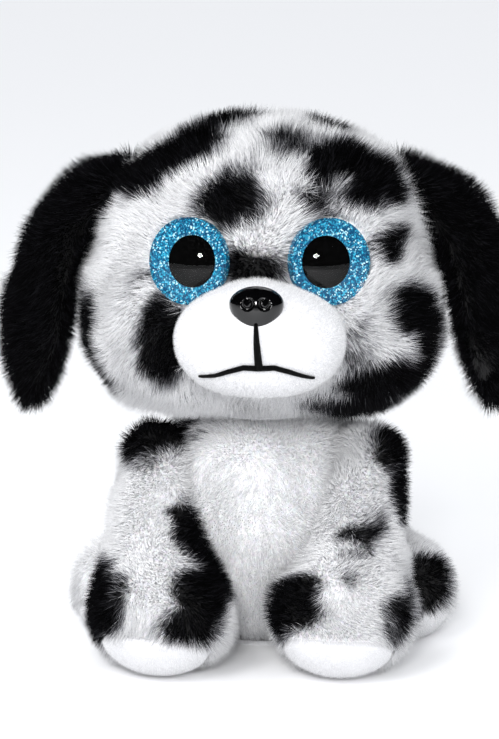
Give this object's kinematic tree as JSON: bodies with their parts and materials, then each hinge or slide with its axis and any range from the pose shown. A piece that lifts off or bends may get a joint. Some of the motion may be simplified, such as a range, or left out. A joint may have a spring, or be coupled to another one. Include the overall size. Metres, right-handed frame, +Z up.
{
  "type": "plush puppy toy",
  "caption": "Seated plush puppy with a large turning head, drooping ears, glitter bead eyes, stitched mouth and padded feet.",
  "frame": {"origin": "floor level, under the middle of the neck's line through the seat", "axes": "+Z up, the face looks along -Y, the animal's left is +X"},
  "size_m": [0.1312, 0.1195, 0.149],
  "materials": {
    "spotted_plush": "matte",
    "black_plush": "matte",
    "white_plush": "matte",
    "short_plush": "matte",
    "stuffing": "matte",
    "pouch_cloth": "matte",
    "seam_cloth": "matte",
    "clear_lens": "gloss",
    "glitter_iris": "glitter",
    "black_plastic": "gloss",
    "nose_plastic": "gloss",
    "washer_plastic": "matte",
    "black_thread": "satin"
  },
  "bodies": {
    "torso": {"belly_panel": "white_plush", "flank_panel_left": "spotted_plush", "flank_panel_right": "spotted_plush", "seat_base": "white_plush", "torso_stuffing": "stuffing", "pellet_pouch": "pouch_cloth"},
    "neck": {"neck_seam": "seam_cloth"},
    "head": {"forehead_panel": "spotted_plush", "chin_panel": "spotted_plush", "head_stuffing": "stuffing", "muzzle_top_panel": "short_plush", "muzzle_lower_panel": "short_plush", "muzzle_stuffing": "stuffing", "nose": "nose_plastic", "nose_washer": "washer_plastic", "mouth_centre_thread": "black_thread", "cheek_panel_left": "spotted_plush", "cheek_panel_right": "spotted_plush", "nape_panel_left": "spotted_plush", "nape_panel_right": "spotted_plush", "eye_lens_left": "clear_lens", "eye_lens_right": "clear_lens", "eye_iris_left": "glitter_iris", "eye_iris_right": "glitter_iris", "eye_pupil_left": "black_plastic", "eye_pupil_right": "black_plastic", "eye_backing_left": "black_plastic", "eye_backing_right": "black_plastic", "eye_washer_left": "washer_plastic", "eye_washer_right": "washer_plastic", "mouth_side_thread_left": "black_thread", "mouth_side_thread_right": "black_thread"},
    "tail": {"tail_panel_left": "spotted_plush", "tail_panel_right": "spotted_plush", "tail_stuffing": "stuffing"},
    "ear_left": {"ear_outer_left": "black_plush", "ear_lining_left": "black_plush", "ear_padding_left": "stuffing"},
    "front_leg_left": {"front_leg_outer_panel_left": "spotted_plush", "front_leg_inner_panel_left": "spotted_plush", "front_leg_sole_left": "short_plush", "front_leg_stuffing_left": "stuffing"},
    "hind_leg_left": {"hind_leg_outer_panel_left": "spotted_plush", "hind_leg_inner_panel_left": "spotted_plush", "hind_leg_sole_left": "short_plush", "hind_leg_stuffing_left": "stuffing"},
    "ear_right": {"ear_outer_right": "black_plush", "ear_lining_right": "black_plush", "ear_padding_right": "stuffing"},
    "front_leg_right": {"front_leg_outer_panel_right": "spotted_plush", "front_leg_inner_panel_right": "spotted_plush", "front_leg_sole_right": "short_plush", "front_leg_stuffing_right": "stuffing"},
    "hind_leg_right": {"hind_leg_outer_panel_right": "spotted_plush", "hind_leg_inner_panel_right": "spotted_plush", "hind_leg_sole_right": "short_plush", "hind_leg_stuffing_right": "stuffing"}
  },
  "joints": [
    {"name": "head_turn", "type": "hinge", "parent": "torso", "child": "neck", "pos_m": [0, -0.001, 0.062], "axis": [0, 0, 1], "range_deg": [-20, 20], "stiffness_Nm_per_rad": 0.2},
    {"name": "head_nod", "type": "hinge", "parent": "neck", "child": "head", "pos_m": [0, -0.001, 0.062], "axis": [1, 0, 0], "range_deg": [-8, 8], "stiffness_Nm_per_rad": 0.4},
    {"name": "tail_wag", "type": "hinge", "parent": "torso", "child": "tail", "pos_m": [0, 0.034, 0.014], "axis": [0, 0, 1], "range_deg": [-22, 22], "stiffness_Nm_per_rad": 0.01},
    {"name": "ear_lift_left", "type": "hinge", "parent": "head", "child": "ear_left", "pos_m": [0.039, 0, 0.135], "axis": [0, -1, 0], "range_deg": [0, 65], "stiffness_Nm_per_rad": 0.01},
    {"name": "front_leg_lift_left", "type": "hinge", "parent": "torso", "child": "front_leg_left", "pos_m": [0.029, -0.01, 0.053], "axis": [-1, 0, 0], "range_deg": [0, 20], "stiffness_Nm_per_rad": 0.05},
    {"name": "hind_leg_spread_left", "type": "hinge", "parent": "torso", "child": "hind_leg_left", "pos_m": [0.024, 0.011, 0.02], "axis": [0, 0, 1], "range_deg": [0, 22], "stiffness_Nm_per_rad": 0.02},
    {"name": "ear_lift_right", "type": "hinge", "parent": "head", "child": "ear_right", "pos_m": [-0.039, 0, 0.135], "axis": [0, 1, 0], "range_deg": [0, 65], "stiffness_Nm_per_rad": 0.01},
    {"name": "front_leg_lift_right", "type": "hinge", "parent": "torso", "child": "front_leg_right", "pos_m": [-0.029, -0.01, 0.053], "axis": [-1, 0, 0], "range_deg": [0, 20], "stiffness_Nm_per_rad": 0.05},
    {"name": "hind_leg_spread_right", "type": "hinge", "parent": "torso", "child": "hind_leg_right", "pos_m": [-0.024, 0.011, 0.02], "axis": [0, 0, -1], "range_deg": [0, 22], "stiffness_Nm_per_rad": 0.02}
  ]
}
